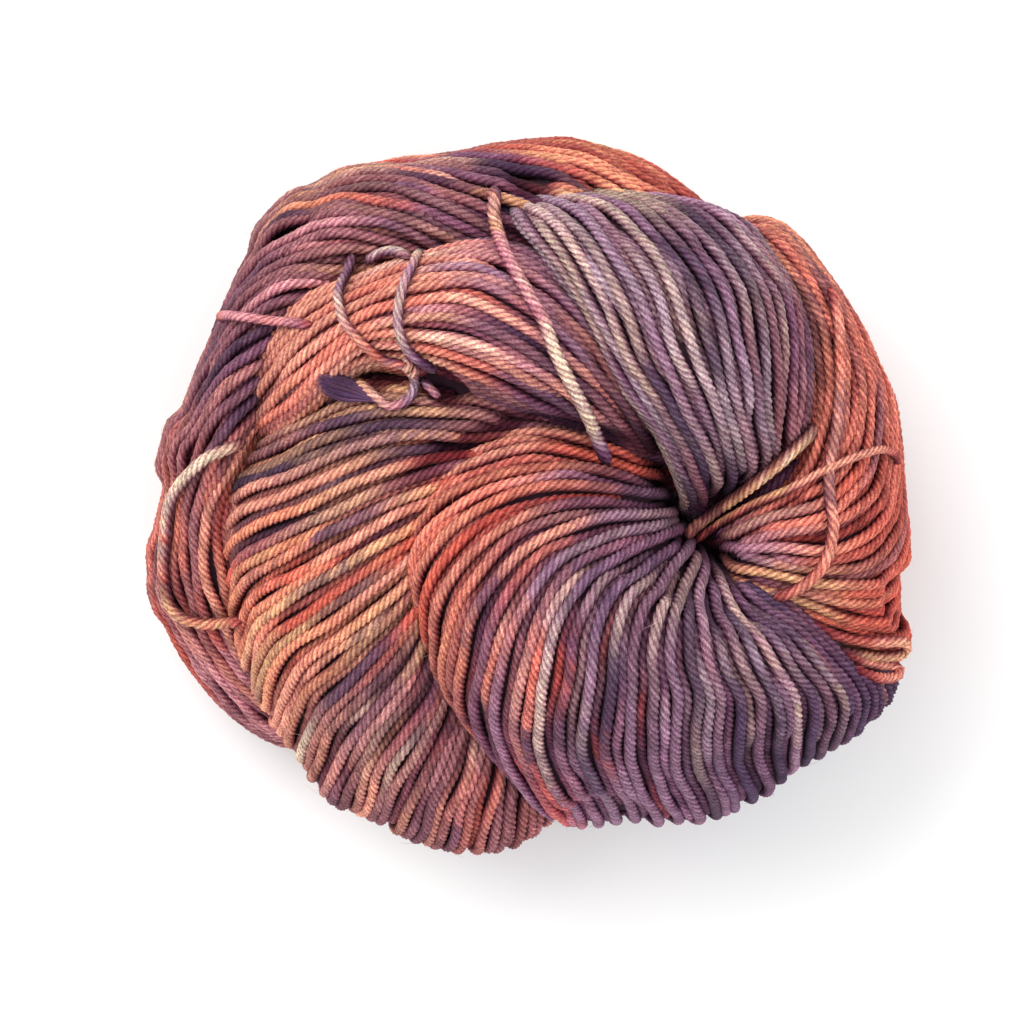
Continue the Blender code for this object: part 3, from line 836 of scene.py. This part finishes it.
# loose strands that cross the turns: plan places in millimetres, and how far the strand's middle lies
# over the solid's skin
loose = {
    "overEdge": [
        (-5, 45.5, -1.5), (-4.9, 44.1, 0.5), (-4.9, 41, 0.9), (-3.6, 36.2, 1), (-1.7, 32.4, 1),
        (0.4, 28.6, 1), (2.3, 25.3, 1), (3.6, 21.7, 1), (5.5, 17.7, 1), (7.7, 13.7, 1), (9.3, 10.6, 1),
        (10.7, 7.4, 0.6), (11.8, 5, -1.6)],
    "goldBridge": [
        (23.6, -6, -1.5), (24.4, -4.9, 0.6), (27.8, -2.3, 1.0), (31.4, 0.3, 1.0), (36.2, 4.2, 1.0),
        (40.7, 8.2, 0.8), (43, 10.4, -1.2)],
    "thinBridge": [
        (25, -6.6, -1.2), (26.6, -5.3, 0.4), (33, -1.3, 1.0), (38.8, 1.3, 1.0), (43.9, 4, 1.0),
        (49.1, 6.2, 0.9), (52.5, 7.1, 0.6), (54.8, 6.6, -0.2), (56, 5.2, -2.0)],
    "upperUnder": [
        (28, -3.4, -2.4), (31, -1.2, -1.4), (35, 2.2, -1.2), (39, 6, -2.2)],
    "lowerUnder": [
        (27, -6, -2), (30, -3.4, -1.2), (34, -0.2, -1), (38, 2.8, -1.2), (41, 5.4, -2.2)],
    "leftLoop": [
        (-42.5, 8.4, -1.4), (-44.6, 7.3, 0.6), (-47.9, 5.8, 1.0), (-51.3, 2.9, 1), (-53.7, -0.2, 1),
        (-54.7, -4.3, 1), (-55.3, -9.3, 1), (-55.3, -13.3, 1), (-54.5, -16.6, 1), (-52.6, -18.4, 1),
        (-49.6, -19.2, 1), (-46.1, -19.1, 0.8), (-43.2, -18.7, -0.4)],
    "pinkCrossing": [
        (-46.6, 27.4, -1.6), (-45.6, 27.3, 0.5), (-42.6, 26.8, 1), (-38.2, 26.1, 1), (-33.7, 25.5, 0.6),
        (-31.6, 25.3, -0.6)],
    "paleArc": [
        (-23.7, 34.7, -0.8), (-22.5, 35.6, 0.3), (-20.2, 36.2, 0.5), (-18.2, 35.6, 0.3),
        (-17.2, 34.8, -0.8)],
    "crossingDown": [
        (44.8, 31, -0.4), (45.6, 29, 0.4), (46.2, 20.3, 0.7), (45.8, 11.4, 0.7), (44.4, 2.5, 0.6),
        (45, -4.9, 0.7), (43.6, -10, 0.7), (40.4, -13.4, 0.5), (36.6, -15, -0.6)],
    "upperLoop": [
        (42, -18.4, -2.4), (45, -20.2, -0.8), (48.4, -21.2, 0.5), (53, -21.7, 0.9), (56.4, -21.7, 1.2),
        (57.5, -22.7, 1.3), (56.4, -23.8, 1.1), (53, -24, 0.7), (49, -23.6, -0.6), (46.5, -22.8, -2.4)],
    "lowerLoop": [
        (47, -23.2, -2.4), (49.4, -24.4, -0.6), (52.4, -25.3, 0.7), (55, -25.4, 1.2), (56.7, -26.2, 1.2),
        (55.6, -27.3, 1.1), (53, -27.2, 0.6), (50.4, -26.4, -0.8), (48.6, -25.4, -2.4)],
}

looseDyes = {
    # name: the dyes passed through along the strand, and how thick it is beside the others
    "overEdge": ("gold rose rose cream cream mauve mauve", 1.14),
    "goldBridge": ("umber gold gold cream gold", 1.0),
    "thinBridge": ("coral gold salmon salmon coral coral", 0.72),
    "upperUnder": ("deep plum umber plum", 1.0),
    "lowerUnder": ("deep mauve lilac mauve plum", 1.0),
    "leftLoop": ("cream cream cream sand coral umber gold coral coral", 1.0),
    "pinkCrossing": ("rose rose coral", 0.85),
    "paleArc": ("lilac cream rose", 0.9),
    "crossingDown": ("coral salmon umber salmon coral salmon", 1.0),
    "upperLoop": ("brick coral salmon gold umber umber", 0.95),
    "lowerLoop": ("brick salmon salmon coral coral brick", 0.95),
}

looseLaying = {
    "above": 200 * mm,         # the skin under a loose strand is looked for from here
    "tautSteps": 90,           # how long the strand is pulled taut over the hollows
    "liftStep": 0.06 * mm,
    "diveLight": 0.45,         # how light the painted shade leaves it where it dives in
    "secondDraw": 0.92,        # how light its second draw of dye is
}


def evened(values):
    # the mean of each value and the two on each side of it
    return np.convolve(np.pad(values, 2, "edge"), np.ones(5) / 5, "valid")


def laidLine(spots, step):
    # a smooth line over the plan places, each point at its own lift over the skin
    rows = smoothRows(np.array(spots) * mm, np.linspace(0, len(spots) - 1, len(spots) * 12))
    plan = resampled(rows, step * 0.5)[0]
    above, down = looseLaying["above"], Vector((0, 0, -1))
    hits = [skinTree.ray_cast(Vector((x, y, above)), down)[0] for x, y, _ in plan]
    heights = np.array([hit.z if hit else np.nan for hit in hits])
    known = ~np.isnan(heights)
    heights = np.interp(np.arange(len(heights)), np.flatnonzero(known), heights[known])
    lowest = heights.copy()
    for _ in range(looseLaying["tautSteps"]):
        heights[1:-1] = np.maximum(lowest[1:-1], (heights[:-2] + heights[2:]) / 2)
    line = np.stack([plan[:, 0], plan[:, 1], evened(heights)], 1)
    for point, lift in zip(line, plan[:, 2]):
        if lift <= 0:
            point[2] += lift
            continue
        while skinTree.find_nearest(Vector(point))[3] < lift:
            point[2] += looseLaying["liftStep"]
    line[:, 2] = evened(line[:, 2])
    return resampled(line, step)[0]


def dyedAlong(name, count):
    # two draws of the strand's dyes, the second one dye further on
    table = dyeValues(looseDyes[name][0].split())
    at, stops = np.linspace(0, 1, count), np.linspace(0, 1, len(table))
    return [np.stack([np.interp(at, stops, column) for column in values.T], 1)
            for values in (table, np.roll(table, 1, 0))]


def looseRun(name):
    spots = loose[name]
    line = laidLine(spots, yarn["ringStep"])
    first, second = dyedAlong(name, len(line))
    at, stops = np.linspace(0, 1, len(line)), np.linspace(0, 1, len(spots))
    lift = np.interp(at, stops, [spot[2] for spot in spots])
    # painted shade: the strand is darker where it dives under the others
    shade = looseLaying["diveLight"] + (1 - looseLaying["diveLight"]) * smoothStep((lift + 1) / 1.6)
    return Run(line, first, second * looseLaying["secondDraw"], skinNormals(line), shade)


def threadFor(name, thread):
    return dict(thread, thickness=thread["thickness"] * looseDyes[name][1])


for name in loose:
    piece = strandMesh(name, [looseRun(name)], threadFor(name, yarn))
    finished(piece, "hank", yarnMaterial)
note("loose strands ready")


# the thread that ties one turn
tie = {
    "thickness": 1.6 * mm,
    "plies": 5,
    "pointsPerPly": 2,
    "plyTurn": 7.4 * mm,
    "turnDifference": 0.05,
    "plyTone": 0.30,
    "valley": 0.74,
    "ringStep": 0.42 * mm,
    "knotWraps": 2.3,
    "wrapPoints": 18,          # round each wrap of the knot
    "knotRadius": 0.62 * mm,
    "tuftFibres": 280,
    "tuftFibre": 0.15 * mm,
    "tuftWidth": 3.6 * mm,
}

tieLines = {
    # the left leg comes out of the crease, passes the knot and curls back as the free end
    "tieLeft": [
        (-25.9, 35.9, -1.4), (-26.2, 34.6, 0), (-26.9, 32.6, 0.6), (-27.7, 30.4, 0.7), (-27.5, 27.7, 0.7),
        (-26.5, 25.1, 0.7), (-24.5, 22.8, 0.7), (-22.4, 20.9, 0.7), (-20.6, 19.8, 0.7), (-18.6, 19.4, 0.8),
        (-17.1, 18.5, 0.8), (-16.6, 16.7, 0.9), (-17.1, 14.9, 0.9), (-18.6, 13.6, 0.9), (-20.5, 13.3, 0.9),
        (-22.3, 14.7, 0.9), (-23.9, 16.1, 1.0), (-25.2, 17.0, 1.0)],
    # the right leg goes into the hollow beside the knot
    "tieRight": [
        (-15.9, 36, -1.2), (-16.4, 34.6, 0.4), (-17.6, 31.9, 0.6), (-18.4, 29.4, 0.6), (-18.8, 26.8, 0.6),
        (-18.7, 24.3, 0.6), (-17.9, 22, 0.6), (-16.3, 20.2, 0.6), (-14.6, 19.1, 0.4), (-13.4, 18.6, -0.8)],
    "tieRightEnd": [
        (-15.6, 17.3, -0.6), (-14.9, 16.6, 0.2), (-14, 15.6, 0.4), (-13, 14.6, 0.3)],
    # the middle of the knot, which the thread is wrapped round
    "tieKnot": [
        (-18.0, 19.7, 1.1), (-17.2, 18.9, 1.3), (-16.3, 18.0, 1.1)],
}

looseDyes.update({
    "tieLeft": ("plum mauve cream rose salmon coral lilac mauve rose peach gold", 1.0),
    "tieRight": ("cream peach mauve sand mauve plum deep", 1.0),
    "tieRightEnd": ("deep mauve rose plum", 0.9),
    "tieKnot": ("peach gold peach cream", 0.78),
})


def wrapped(centre, radius, wraps):
    # a thread wound round a short line
    t = np.linspace(0, 1, int(wraps * tie["wrapPoints"]))
    ahead = unit(centre[-1] - centre[0])
    beside = unit(np.cross((0, 0, 1), ahead))
    over = np.cross(ahead, beside)
    turned = 2 * math.pi * wraps * t - math.pi / 2
    around = np.outer(np.cos(turned), beside) + np.outer(np.sin(turned), over)
    return pointsAt(centre, t) + radius * around


tieMaterial = yarnFinishAndShade("dyedAndShadedThread")
tieRoutes, tiePieces = {}, {}
for name, spots in tieLines.items():
    line = laidLine(spots, tie["ringStep"])
    if name == "tieKnot":
        line = resampled(wrapped(line, tie["knotRadius"], tie["knotWraps"]), tie["ringStep"] * 0.8)[0]
    run = Run(line, *dyedAlong(name, len(line)), skinNormals(line), np.ones(len(line)))
    tiePieces[name] = strandMesh(name, [run], threadFor(name, tie))
    finished(tiePieces[name], "tie", tieMaterial)
    tieRoutes[name] = line


def hairs(name, lines, colours, thickness, material, node):
    # fine fibres, each a thin tube that tapers to its end
    curve = newCurve(name)
    curve.bevel_depth = thickness / 2
    curve.bevel_resolution = 0
    curve.resolution_u = 1
    for line in lines:
        addSpline(curve, line, np.linspace(1, 0.35, len(line)))
    data = tubeMesh(name, curve)
    points = len(data.vertices)
    perPoint = points // sum(len(line) for line in lines)
    dye = np.concatenate([np.tile(np.append(colour, 1), (len(line) * perPoint, 1))
                          for line, colour in zip(lines, colours)])
    storeValues(data, {"dye": dye, "shade": np.ones(points), "groove": np.zeros(points),
                       "lay": np.zeros((points, 3))})
    piece = linked(name, data)
    finished(piece, node, material)
    return piece


def tuft():
    # the free end's fibres spread out of the thread in a flat brush
    centre = laidLine([(-21.7, 13.9, 0.2), (-23.6, 14.7, 0.5), (-26, 15.6, 0.6), (-28.6, 16.4, 0.5),
                       (-31.2, 17.3, 0.5)], 0.4 * mm)
    beside = unit(np.cross((0, 0, 1), centre[-1] - centre[0]))
    deep, plum = dyeValues(("deep", "plum"))
    lines, colours = [], []
    for _ in range(tie["tuftFibres"]):
        spread = np.clip(rng.normal(0, 0.55), -1, 1)
        height = rng.uniform(0, 1) * math.sqrt(1 - 0.8 * spread**2)
        t = np.linspace(rng.uniform(0, 0.15), rng.uniform(0.78, 1.0) - 0.10 * spread**2, 8)
        # it opens quickly, and closes a little towards its end
        opened = 0.12 + 0.88 * smoothStep(t / 0.55) - 0.22 * smoothStep((t - 0.6) / 0.4)
        side = spread * opened * tie["tuftWidth"] / 2 + rng.normal(0, 0.10) * mm * t**2
        rise = height * (0.5 + 0.6 * np.sin(math.pi * t)) * mm
        lines.append(pointsAt(centre, t) + np.outer(side, beside) + np.outer(rise, (0, 0, 1)))
        shade = plum if rng.uniform() < 0.25 else deep * (1.05, 0.88, 1.10)
        colours.append(shade * rng.uniform(0.6, 1.4))
    return hairs("tieTuft", lines, colours, tie["tuftFibre"], tieMaterial, "tie")


fuzz = {
    "perMetre": 120,          # stray fibres on each metre of strand
    "fibre": 0.04 * mm,
    "shortest": 0.8 * mm,
    "longest": 2.8 * mm,
    "lowest": 0.1 * mm,       # over the surface that the hank lies on
    "darkest": 0.72,          # only strands whose painted shade is on average lighter than this have any
    "round": 0.75,            # how far round the strand from its outer side they grow
    "root": 0.44,             # where they start from the strand's middle, in strand thicknesses
    "lean": 0.45,             # how far a fibre stands up from the strand that it comes out of
    "turn": 0.7,              # how far it turns aside from the strand's direction
    "curl": 0.45,
    "shades": (0.9, 1.35),    # how much darker or lighter it is than the strand
}


def strayFibres(runs):
    # fine fibres that come out of the plies and lie along the strands
    lines, colours = [], []
    for run in runs:
        ahead = unit(np.gradient(run.points, axis=0))
        for _ in range(rng.poisson(fuzz["perMetre"] * runLength(run.points)[-1])):
            at = rng.integers(1, len(run.points) - 1)
            up, along = run.up[at], ahead[at]
            side = unit(np.cross(along, up))
            around = rng.normal(0, fuzz["round"])
            outward = up * math.cos(around) + side * math.sin(around)
            length = rng.uniform(fuzz["shortest"], fuzz["longest"])
            rise = fuzz["lean"] * rng.uniform(0.1, 1.0)
            heading = unit(along * rng.choice((-1, 1)) + side * rng.normal(0, fuzz["turn"]))
            t = np.linspace(0, 1, 4)[:, None]
            curl = side * rng.normal(0, fuzz["curl"])
            start = run.points[at] + outward * yarn["thickness"] * fuzz["root"]
            line = start + length * (heading * t + outward * rise * t * (1 - 0.55 * t) + curl * t**2)
            line[:, 2] = np.maximum(line[:, 2], fuzz["lowest"])
            lines.append(line)
            # a fibre takes the strand's dye with the shade painted on the strand there
            colours.append(run.first[at] * run.shade[at] * rng.uniform(*fuzz["shades"]))
    return lines, colours


fibreLines, fibreColours = strayFibres([run for run in woundRuns if run.shade.mean() > fuzz["darkest"]])
half = len(fibreLines) // 2
for number, part in enumerate((slice(0, half), slice(half, None)), 1):
    hairs(f"strayFibres{number}", fibreLines[part], fibreColours[part], fuzz["fibre"], yarnMaterial,
          "hank")
note(f"{len(fibreLines)} stray fibres")

tieTuft = tuft()
leftRoute = tieRoutes["tieLeft"]
cordLength = runLength(leftRoute)[-1]
note(f"tie ready, its left leg and free end {cordLength / mm:.1f} mm")


# the strands inside, seen only between the outer ones and coloured dark as painted shade for the gaps
inner = {
    "inset": 2.5 * mm,         # from a turn's surface to the tube inside it
    "slimShare": 0.6,          # the most of a slim turn's half thickness that the inset takes
    "middleInset": 5.0 * mm,   # from the solid's skin to the middle's
    "smoothings": 8,
    "rings": 60,
    "around": 28,
    "lowest": 1.3 * mm,
    # painted shade: the inner strands take the dark of the shade between the outer ones, not their dye
    "colour": (0.18, 0.10, 0.14),
    "speckle": 1.8,            # how much lighter its light specks are
    "speckScale": 300.0,
    "roughness": 0.95,
}


def addInnerTube(solid, name):
    # a slimmer copy of one turn with the same dents, bridged from ring to ring
    bundle = bundles[name]
    width = np.linalg.norm(bundle.side, axis=1)
    height = (np.linalg.norm(bundle.rise, axis=1) + np.linalg.norm(bundle.drop, axis=1)) / 2
    inset = np.minimum(inner["inset"], inner["slimShare"] * np.minimum(width, height))
    around = []
    for angle in np.linspace(0, 2 * math.pi, inner["around"], endpoint=False):
        point, normal = bundle.along(np.full(form["samples"], angle))
        line = placed(point - normal * inset[:, None])
        around.append(dented(name, line, normal)[0])
    loops = []
    for place in np.linspace(0, form["samples"] - 1, inner["rings"]).astype(int):
        ring = bmesh.ops.create_circle(solid, segments=inner["around"], radius=1)["verts"]
        for vertex, line in zip(ring, around):
            vertex.co = line[place]
            vertex.co.z = max(vertex.co.z, inner["lowest"])
        loops.append(list({edge for vertex in ring for edge in vertex.link_edges}))
    for one, other in zip(loops, loops[1:]):
        bmesh.ops.bridge_loops(solid, edges=one + other)
    bmesh.ops.holes_fill(solid, edges=loops[0] + loops[-1])


def addMiddle(solid):
    # the skin drawn in and smoothed, pushed back wherever a fold would come too near the skin
    middle = bmesh.new()
    middle.from_mesh(skinMesh)
    middle.normal_update()
    for vertex in middle.verts:
        vertex.co = vertex.co - vertex.normal * inner["middleInset"]
    for _ in range(inner["smoothings"]):
        bmesh.ops.smooth_vert(middle, verts=middle.verts, factor=0.5, use_axis_x=True, use_axis_y=True,
                              use_axis_z=True)
        for vertex in middle.verts:
            near, normal, _, away = skinTree.find_nearest(vertex.co)
            if (vertex.co - near).dot(normal) > 0:
                away = -away
            if away < inner["middleInset"]:
                vertex.co = vertex.co - normal * (inner["middleInset"] - away)
    solid.from_mesh(meshFrom(middle, "middle"))


def buildInner():
    solid = bmesh.new()
    for name in bundles:
        addInnerTube(solid, name)
    addMiddle(solid)
    bmesh.ops.recalc_face_normals(solid, faces=solid.faces)
    data = meshFrom(solid, "innerStrands")
    data.shade_smooth()
    return linked("innerStrands", data)


def innerShadeFinish():
    material, add, finishWith = nodeMaterial("innerPaintedShade", {"Roughness": inner["roughness"]})
    place = add("ShaderNodeTexCoord", "Object", {})
    specks = add("ShaderNodeTexNoise", "Fac", {"Vector": place, "Scale": inner["speckScale"]})
    light = [inner["speckle"] * channel for channel in inner["colour"]]
    finishWith({"Base Color": add("ShaderNodeMix", 2, {
        0: specks, 6: (*linear(inner["colour"]), 1), 7: (*linear(light), 1)}, data_type="RGBA")})
    return material


finished(buildInner(), "hank", innerShadeFinish())
note("inner strands ready")


# stage, lights and camera
view = {
    "place": (-2.3 * mm, -2.2 * mm, 700 * mm),
    "lens": 153.0,
    "sensor": 36.0,
    "nearest": 0.01,
    "farthest": 20,
}
stage = {
    "floorHalf": 3,            # metres
    "floorColour": (0.86, 0.86, 0.86, 1),
    "floorRoughness": 0.9,
    "roomColour": (1, 1, 1, 1),
    "roomLight": 0.96,
    "aim": (0, 0, 0.03),
    # name: place, width, power and colour
    "lamps": {"window": ((-0.45, 0.45, 0.75), 0.75, 7.4, (1.0, 0.98, 0.96)),
              "fill": ((0.6, -0.3, 0.6), 0.8, 3, (0.95, 0.97, 1.0))},
}


def addCamera():
    data = bpy.data.cameras.new("camera")
    data.lens = view["lens"]
    data.sensor_width = view["sensor"]
    data.clip_start = view["nearest"]
    data.clip_end = view["farthest"]
    camera = linked("camera", data)
    camera.location = view["place"]
    bpy.context.scene.camera = camera


def addStage():
    solid = bmesh.new()
    bmesh.ops.create_grid(solid, x_segments=1, y_segments=1, size=stage["floorHalf"])
    floor = linked("floor", meshFrom(solid, "floor"))
    floor.data.materials.append(nodeMaterial("paleFloor", {
        "Base Color": stage["floorColour"], "Roughness": stage["floorRoughness"]})[0])
    world = bpy.data.worlds.new("room")
    world.use_nodes = True
    background = world.node_tree.nodes["Background"]
    background.inputs["Color"].default_value = stage["roomColour"]
    background.inputs["Strength"].default_value = stage["roomLight"]
    bpy.context.scene.world = world


def addLamps():
    for name, (place, size, power, colour) in stage["lamps"].items():
        data = bpy.data.lights.new(name, "AREA")
        data.size, data.energy, data.color = size, power, colour
        lamp = linked(name, data)
        lamp.location = place
        lamp.rotation_euler = (Vector(stage["aim"]) - Vector(place)).to_track_quat("-Z", "Y").to_euler()


addCamera()
addStage()
addLamps()
bpy.context.scene.view_settings.view_transform = "Standard"
note("stage, lights and camera ready")

note(f"{sum(triangleCount(piece) for piece in bpy.data.objects if piece.type == 'MESH')} triangles in all")
